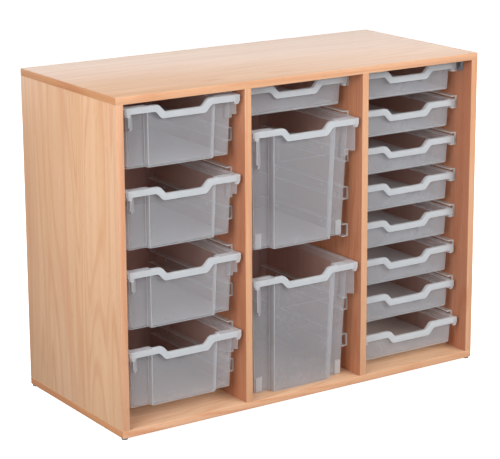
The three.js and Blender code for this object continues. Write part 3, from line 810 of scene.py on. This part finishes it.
class TrayShape:
    """Rings of points round a tray, with its front rim edge at Y 0 and its rim top at Z 0."""

    def __init__(self, size, kind):
        self.width, self.length, self.height = size
        self.setback, self.corner, self.foot = kind["setback"], kind["corner"], kind["foot"]
        self.tub_half = self.width / 2 - FLANGE_WIDTH
        self.wall = FRONT_LEDGE + self.setback

    def front(self, lean, inset):
        """The front of the tub from left to right as (x, y), with its corners set back from the panel."""
        scale = 1 - lean / self.tub_half
        y = FRONT_LEDGE + lean + inset
        right = [(x * scale, y) for x in DIP_STATIONS]
        if self.setback:
            panel = PANEL_WIDTH / 2 * scale - inset
            back = y + self.setback
            edge, root, side = (panel, y), (panel + PANEL_FLANK, back), (self.tub_half, back)
            right += eased((0, y), edge, root, PANEL_ROUND, 5) + eased(edge, root, side, PANEL_ROUND, 5)
        return [(-x, y) for x, y in reversed(right)] + [(0, y)] + right

    def around(self, half, front, rear, corners, ear):
        """The sides and the rear of an outline as (x, y), from the right front corner to the left one."""
        near, far = corners
        sides = spread(front + near, rear - far, SIDE_STEPS + 2)[1:-1]
        if ear:
            sides[:2] = [EAR_LENGTH - LIP_EASE, EAR_LENGTH]
        right = arc((half - near, front + near), near, -90, 0, CORNER_STEPS)
        right += [(half, y) for y in sides]
        right += arc((half - far, rear - far), far, 0, 90, CORNER_STEPS)
        right += [(half / 3, rear)]
        return right + [(-x, y) for x, y in reversed(right)]

    def tub(self, depth, inset):
        """A ring of the tub's wall at a depth below the rim, set in from its outer face."""
        lean = depth * DRAFT
        corner = max(self.corner - inset, LIP_EASE)
        share = min(1, max(0, 1 - (depth - DIP_FADE_START) / DIP_FADE))
        ring = [Vector((x, y, -depth - share * dip(x, 0))) for x, y in self.front(lean, inset)]
        others = self.around(
            self.tub_half - lean - inset, self.wall + lean + inset, self.length - REAR_LEDGE - lean - inset,
            (corner, corner), False,
        )
        return ring + [Vector((x, y, -depth)) for x, y in others]

    def rim(self, inset, drop, flare=0.0, from_lip=False):
        """A ring of the rim, set in from its edge, at a drop below its top or above its lip's foot."""
        corners = (max(RIM_FRONT_CORNER - inset, LIP_EASE), RIM_REAR_CORNER - inset)
        others = self.around(self.width / 2 - inset, inset, self.length - inset, corners, True)
        ring = []
        for x, _ in self.front(0, 0):
            level = drop - BAND_HEIGHT if from_lip else -drop
            ring.append(Vector((x, inset, level - dip(x, flare))))
        for x, y in others:
            lip = BAND_HEIGHT if y < EAR_LENGTH - LIP_EASE / 2 else SIDE_LIP
            ring.append(Vector((x, y, drop - lip if from_lip else -drop)))
        return ring


def quarter(steps):
    return [(math.sin(a), math.cos(a)) for a in spread(0, math.pi / 2, steps + 1)]


def paint_by_place(bm, shape):
    """Paints the flat of the flange behind the front band as a wall, and the front wall as a denser one.

    The small fillets of a stepped front catch the light and are painted with the rim plastic as a painted
    highlight.
    """
    front = shape.wall + shape.height * DRAFT + 2 * WALL_T
    for face in bm.faces:
        face.normal_update()
        centre = face.calc_center_median()
        if abs(face.normal.z) > FLAT and centre.y > FRONT_LEDGE:
            face.material_index = WALL
        on_panel = abs(centre.x) < PANEL_WIDTH / 2 + 2 * PANEL_FLANK
        faces_front = on_panel or abs(face.normal.y) > FORWARD
        if face.material_index == WALL and centre.y < front and faces_front:
            # Slanted fillets of a stepped front get the rim plastic as a painted highlight
            rounded = min(abs(face.normal.x), abs(face.normal.y)) > SLANTED
            face.material_index = RIM_AND_HIGHLIGHT if rounded and shape.setback else FRONT


def tray_body(shape):
    """The tub with its rim and front band as one closed shell."""
    floor = shape.height - FOOT_LIFT - FLOOR_T
    foot = shape.foot
    rings = [shape.tub(floor - foot * (1 - c), WALL_T + foot * (1 - s)) for s, c in quarter(4)]
    rings += [shape.tub(depth, WALL_T) for depth in reversed(WALL_DEPTHS)]
    rings += [shape.tub(MOUTH_ROUND * (1 - s), WALL_T - MOUTH_ROUND * (1 - c)) for s, c in quarter(4)]
    rim_start = len(rings) - 2
    rings += [shape.rim(RIM_ROUND * (1 - s), RIM_ROUND * (1 - c)) for s, c in quarter(4)]
    lip = [(LIP_ROUND * (1 - c), LIP_ROUND * (1 - s)) for s, c in quarter(3)]
    lip += [(BAND_WALL - LIP_EASE, 0), (BAND_WALL, LIP_EASE)]
    rings += [shape.rim(inset, rise, DIP_FLARE, True) for inset, rise in lip]
    rings += [shape.rim(BAND_WALL, FLANGE_T + UNDER_FILLET), shape.rim(BAND_WALL + UNDER_FILLET, FLANGE_T)]
    rings += [
        shape.tub(FLANGE_T + LEDGE_FILLET * (1 - c), -LEDGE_FILLET * (1 - s)) for s, c in quarter(3)
    ]
    rim_end = len(rings) - 2
    rings += [shape.tub(depth, 0) for depth in WALL_DEPTHS]
    foot_start = len(rings)
    rings += [shape.tub(shape.height - foot * (1 - s), foot * (1 - c)) for s, c in quarter(5)]
    foot_end = len(rings) - 1
    rings += [shape.tub(shape.height, foot + FOOT_WIDTH)]
    rings += [shape.tub(shape.height - FOOT_LIFT, foot + FOOT_WIDTH + FOOT_SLOPE)]
    bm = bmesh.new()
    # The rim rings are the denser rim plastic; the foot's rounding gets it too, as a painted highlight
    # along the bottom edge
    dense = [*range(rim_start, rim_end), *range(foot_start, foot_end)]
    grown = skin(bm, rings, [RIM_AND_HIGHLIGHT if i in dense else WALL for i in range(len(rings) - 1)])
    bm.faces.new(grown[0])
    bm.faces.new(grown[-1])
    paint_by_place(bm, shape)
    return mesh_from("tray_body", bm, TRAY_PLASTICS)


def lean_back(bm, faces):
    """Tilts pieces on the front wall so that they follow its draft."""
    for vert in {v for f in faces for v in f.verts}:
        vert.co.y -= vert.co.z * DRAFT


def ear_into(bm, shape, hand):
    """Adds the block that closes the front end of a rail."""
    edge = shape.width / 2
    outline = [
        (edge - EAR_SET_IN, -EMBED),
        (edge - EAR_SET_IN, -BAND_HEIGHT),
        (edge - EAR_CHAMFER, -RAIL_DEPTH),
        (edge - EAR_WIDTH, -RAIL_DEPTH),
        (edge - EAR_WIDTH, -EMBED),
    ]
    back = Matrix(((hand, 0, 0, 0), (0, 0, 1, EAR_SET_IN), (0, 1, 0, 0), (0, 0, 0, 1)))
    prism_into(bm, outline, back, EAR_LENGTH - EAR_SET_IN, DETAIL_ROUND, 2, RIM_AND_HIGHLIGHT)


def rail_into(bm, shape, hand):
    """Adds the sliding rail that hangs from a side flange."""
    rear = shape.length - RAIL_REAR_GAP
    start = EAR_LENGTH - EMBED
    outline = [
        (start, -EMBED),
        (start, -RAIL_DEPTH),
        (rear - RAIL_LEAD, -RAIL_DEPTH),
        (rear, RAIL_LEAD - RAIL_DEPTH),
        (rear, -EMBED),
    ]
    inner = shape.width / 2 - RAIL_INSET - RAIL_T
    side = Matrix(((0, 0, hand, hand * inner), (1, 0, 0, 0), (0, 1, 0, 0), (0, 0, 0, 1)))
    prism_into(bm, outline, side, RAIL_T, DETAIL_ROUND, 2, WALL)


def gusset_into(bm, shape, hand, drop):
    """Adds the plate at 45 degrees between the set-back wall and an ear, stepped at its lower end."""
    inner_drop, outer_drop, outer_length = drop
    wall = shape.wall + WALL_T / 2
    tip = Vector((hand * (shape.width / 2 - GUSSET_EAR_GAP), GUSSET_FRONT, 0))
    root = Vector((tip.x - hand * (wall - GUSSET_FRONT), wall, 0))
    run = (tip - root).normalized()
    length = (tip - root).length
    outline = [
        (0, -EMBED),
        (inner_drop * DRAFT / run.y, -inner_drop),
        (length - outer_length, -inner_drop),
        (length - outer_length, -outer_drop),
        (length, -outer_drop),
        (length, -EMBED),
    ]
    up = Vector((0, 0, 1))
    through = run.cross(up)
    place = Matrix((run, up, through)).transposed().to_4x4()
    place.translation = root - through * GUSSET_T / 2
    faces = prism_into(bm, outline, place, GUSSET_T, DETAIL_ROUND, 2, FRONT)
    for face in faces:
        face.normal_update()
        face.material_index = FRONT if abs(face.normal.dot(through)) > FLAT else RIM_AND_HIGHLIGHT


def pad_into(bm, shape, hand):
    """Adds the thick pad low on a recessed corner of the front."""
    outer = shape.tub_half - shape.height * DRAFT - PAD_CORNER_GAP
    sides = sorted((hand * outer, hand * (outer - PAD_WIDTH)))
    foot = PAD_FLOOR_GAP - shape.height
    low = (sides[0], shape.wall - PAD_PROUD, foot)
    high = (sides[1], shape.wall + PAD_EMBED, foot + PAD_HEIGHT)
    lean_back(bm, box_into(bm, low, high, PAD_ROUND, 3, RIM_AND_HIGHLIGHT))


def label_frame_into(bm):
    """Adds the thin raised outline of the label place on the front panel."""
    width, height, radius = LABEL_WIDTH, LABEL_HEIGHT, LABEL_CORNER
    outer = rounded_outline(width, height, radius)
    inner = rounded_outline(width - 2 * LABEL_LINE, height - 2 * LABEL_LINE, radius - LABEL_LINE)
    middle = -LABEL_DROP - height / 2
    front = FRONT_LEDGE - LABEL_PROUD
    rings = []
    for outline, y in ((outer, front), (inner, front), (inner, front + EMBED), (outer, front + EMBED)):
        rings.append([Vector((u, y, middle + v)) for u, v in outline])
    grown = skin(bm, rings + rings[:1], [FRONT] * 4)
    bmesh.ops.remove_doubles(bm, verts=grown[0] + grown[-1], dist=WELD)
    lean_back(bm, {f for ring in grown for v in ring if v.is_valid for f in v.link_faces})


def rib_into(bm, shape, hand):
    """Adds one of the two ribs that cross under the floor."""
    lean = shape.height * DRAFT
    reach_x = shape.tub_half - lean - RIB_CORNER_GAP
    front = FRONT_LEDGE + lean + RIB_CORNER_GAP
    rear = shape.length - REAR_LEDGE - lean - RIB_CORNER_GAP
    run = Vector((hand * 2 * reach_x, rear - front, 0))
    half = RIB_WIDTH / 2
    faces = box_into(bm, (0, -half, 0), (run.length, half, FOOT_LIFT + EMBED), RIB_ROUND, 2, WALL)
    place = Matrix.Translation((-hand * reach_x, front, LIP_EASE - shape.height))
    turn = Matrix.Rotation(math.atan2(run.y, run.x), 4, "Z")
    bmesh.ops.transform(bm, matrix=place @ turn, verts=list({v for f in faces for v in f.verts}))


def tray_mesh(name, size, kind):
    """A whole tray as one closed mesh."""
    shape = TrayShape(size, kind)
    first, second = bmesh.new(), bmesh.new()
    rib_into(first, shape, 1)
    rib_into(second, shape, -1)
    for hand in (-1, 1):
        ear_into(first, shape, hand)
        rail_into(second, shape, hand)
        if kind["gusset"]:
            gusset_into(second, shape, hand, kind["gusset"])
        if kind["jumbo"]:
            pad_into(first, shape, hand)
    if kind["jumbo"]:
        label_frame_into(first)
    extras = [mesh_from("tray_extras", bm, TRAY_PLASTICS) for bm in (first, second)]
    return combined(name, tray_body(shape), extras, "UNION")


def tray_kind(name):
    if "jumbo" in name:
        return "jumbo_tray", JUMBO
    return ("deep_tray", DEEP) if name.startswith("deep") else ("shallow_tray", SHALLOW)


def trays():
    """Dresses every tray from one shared mesh for each kind."""
    meshes = {}
    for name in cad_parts:
        if "_tray" not in name:
            continue
        low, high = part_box(name)
        kind_name, kind = tray_kind(name)
        if kind_name not in meshes:
            meshes[kind_name] = tray_mesh(kind_name, (high - low) / MM, kind)
        rim_front = Vector(((low.x + high.x) / 2, low.y, high.z))
        dress(name, meshes[kind_name], name, Matrix.Translation(rim_front))


# Stage


def area_light(name, place, target, size, power, mirrored):
    light = bpy.data.lights.new(name, "AREA")
    light.shape = "RECTANGLE"
    light.size, light.size_y = size
    light.energy = power
    made = bpy.data.objects.new(name, light)
    made.location = place
    made.rotation_euler = (Vector(target) - Vector(place)).to_track_quat("-Z", "Y").to_euler()
    made.visible_camera = False
    made.visible_glossy = mirrored
    bpy.context.scene.collection.objects.link(made)


def photo_camera():
    """The camera at the photograph's angle, from its azimuth, elevation and roll."""
    turn, lift, roll = (math.radians(a) for a in (CAMERA_AZIMUTH, CAMERA_ELEVATION, CAMERA_ROLL))
    back = Vector((math.sin(turn) * math.cos(lift), -math.cos(turn) * math.cos(lift), math.sin(lift)))
    level = Vector((math.cos(turn), math.sin(turn), 0))
    upright = back.cross(level)
    right = math.cos(roll) * level + math.sin(roll) * upright
    up = math.cos(roll) * upright - math.sin(roll) * level
    data = bpy.data.cameras.new("photo_camera")
    data.lens = CAMERA_LENS
    data.sensor_width = SENSOR_WIDTH
    data.sensor_fit = "HORIZONTAL"
    data.shift_x, data.shift_y = CAMERA_SHIFT
    made = bpy.data.objects.new("photo_camera", data)
    made.matrix_world = Matrix.Translation(CAMERA_PLACE) @ Matrix((right, up, back)).transposed().to_4x4()
    bpy.context.scene.collection.objects.link(made)
    bpy.context.scene.camera = made


def stage():
    """A white floor under soft light, with a pale surround."""
    bm = bmesh.new()
    bmesh.ops.create_grid(bm, x_segments=8, y_segments=8, size=FLOOR_REACH / MM)
    floor = show("studio_floor", mesh_from("studio_floor", bm, [floor_paint("floor_paint")]))
    floor.visible_diffuse = False
    floor.visible_glossy = False
    world = bpy.data.worlds.new("studio_world")
    world.use_nodes = True
    world.node_tree.nodes["Background"].inputs["Color"].default_value = (1.0, 1.0, 1.0, 1.0)
    world.node_tree.nodes["Background"].inputs["Strength"].default_value = WORLD_STRENGTH
    bpy.context.scene.world = world
    for settings in LIGHTS:
        area_light(*settings)
    bpy.context.scene.view_settings.view_transform = "Standard"
    bpy.context.scene.cycles.transparent_max_bounces = CLEAR_BOUNCES


boards()
fittings()
runners()
trays()
stage()
photo_camera()
